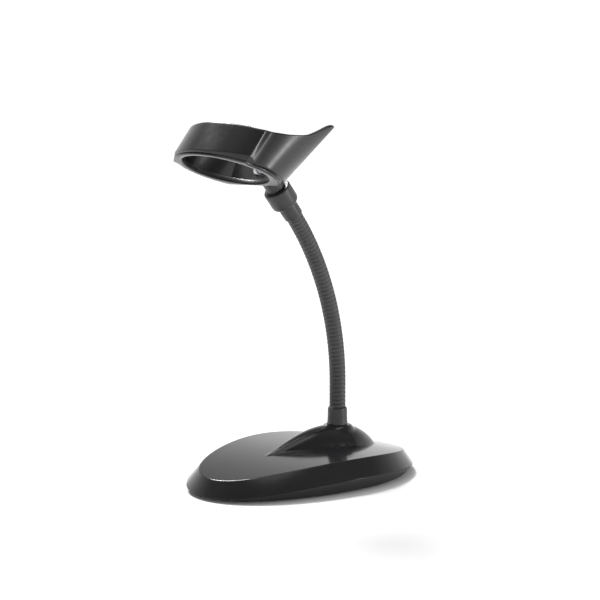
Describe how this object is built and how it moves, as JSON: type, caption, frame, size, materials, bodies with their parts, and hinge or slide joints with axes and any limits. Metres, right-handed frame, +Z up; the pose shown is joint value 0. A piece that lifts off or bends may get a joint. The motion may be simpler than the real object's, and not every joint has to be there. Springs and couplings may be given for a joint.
{
  "type": "gooseneck scanner stand",
  "caption": "Hands-free stand for a handheld scanner: weighted egg-shaped foot, flexible gooseneck and a swivelling open cup with two flared horns.",
  "frame": {"origin": "on the surface the stand rests on, under the centre of its bounding box; the stand's mirror plane is X = 0", "axes": "+Z up, -Y to the front (towards the cup), +X to the right-hand side seen from behind the neck"},
  "size_m": [0.1238, 0.1847, 0.2421],
  "materials": {
    "gloss_black": "polished black ABS",
    "satin_black": "fine satin black plastic",
    "neck_black": "matte black lacquered wire winding",
    "collar_black": "satin black lacquered steel",
    "bezel_grey": "satin dark grey plastic",
    "ballast_steel": "phosphated steel plate",
    "zinc_steel": "zinc plated steel",
    "spring_steel": "bare spring steel",
    "foot_rubber": "black rubber"
  },
  "bodies": {
    "base": {"base_cover": "gloss_black", "base_pan": "satin_black", "ballast_plate": "ballast_steel", "ballast_screws": "zinc_steel", "base_screws": "zinc_steel", "rubber_feet": "foot_rubber", "neck_spacer": "zinc_steel", "lower_collar": "collar_black", "neck_stud": "zinc_steel", "stud_washer": "zinc_steel", "stud_lock_washer": "zinc_steel", "stud_nut": "zinc_steel", "neck_section_1": "neck_black", "core_spring_1": "spring_steel"},
    "neck_2": {"neck_section_2": "neck_black", "core_spring_2": "spring_steel"},
    "neck_3": {"neck_section_3": "neck_black", "core_spring_3": "spring_steel"},
    "neck_4": {"neck_section_4": "neck_black", "core_spring_4": "spring_steel"},
    "neck_5": {"neck_section_5": "neck_black", "core_spring_5": "spring_steel"},
    "neck_6": {"neck_section_6": "neck_black", "core_spring_6": "spring_steel"},
    "neck_7": {"neck_section_7": "neck_black", "core_spring_7": "spring_steel"},
    "neck_8": {"neck_section_8": "neck_black", "core_spring_8": "spring_steel", "upper_ferrule": "collar_black", "swivel_socket": "satin_black", "socket_set_screw": "zinc_steel"},
    "cup": {"swivel_bracket": "satin_black", "cup_shell": "gloss_black", "cup_bezel": "bezel_grey", "cup_screw": "zinc_steel", "cup_washer": "zinc_steel"}
  },
  "joints": [
    {"name": "neck_bend_1", "type": "hinge", "parent": "base", "child": "neck_2", "pos_m": [0, 0.03959, 0.056], "axis": [1, 0, 0], "range_deg": [-15, 15]},
    {"name": "neck_sway_1", "type": "hinge", "parent": "neck_2", "child": "neck_3", "pos_m": [0, 0.03892, 0.07648], "axis": [0, 0.9964, 0.0848], "range_deg": [-15, 15]},
    {"name": "neck_bend_2", "type": "hinge", "parent": "neck_3", "child": "neck_4", "pos_m": [0, 0.03606, 0.09677], "axis": [1, 0, 0], "range_deg": [-15, 15]},
    {"name": "neck_sway_2", "type": "hinge", "parent": "neck_4", "child": "neck_5", "pos_m": [0, 0.03099, 0.11662], "axis": [0, 0.9537, 0.3007], "range_deg": [-15, 15]},
    {"name": "neck_bend_3", "type": "hinge", "parent": "neck_5", "child": "neck_6", "pos_m": [0, 0.02376, 0.13579], "axis": [1, 0, 0], "range_deg": [-15, 15]},
    {"name": "neck_sway_3", "type": "hinge", "parent": "neck_6", "child": "neck_7", "pos_m": [0, 0.01447, 0.15405], "axis": [0, 0.8649, 0.5019], "range_deg": [-15, 15]},
    {"name": "neck_bend_4", "type": "hinge", "parent": "neck_7", "child": "neck_8", "pos_m": [0, 0.00323, 0.17118], "axis": [1, 0, 0], "range_deg": [-15, 15]},
    {"name": "cup_swivel", "type": "hinge", "parent": "neck_8", "child": "cup", "pos_m": [0, -0.02013, 0.19895], "axis": [0, -0.6561, 0.7547], "range_deg": [-60, 60]}
  ]
}
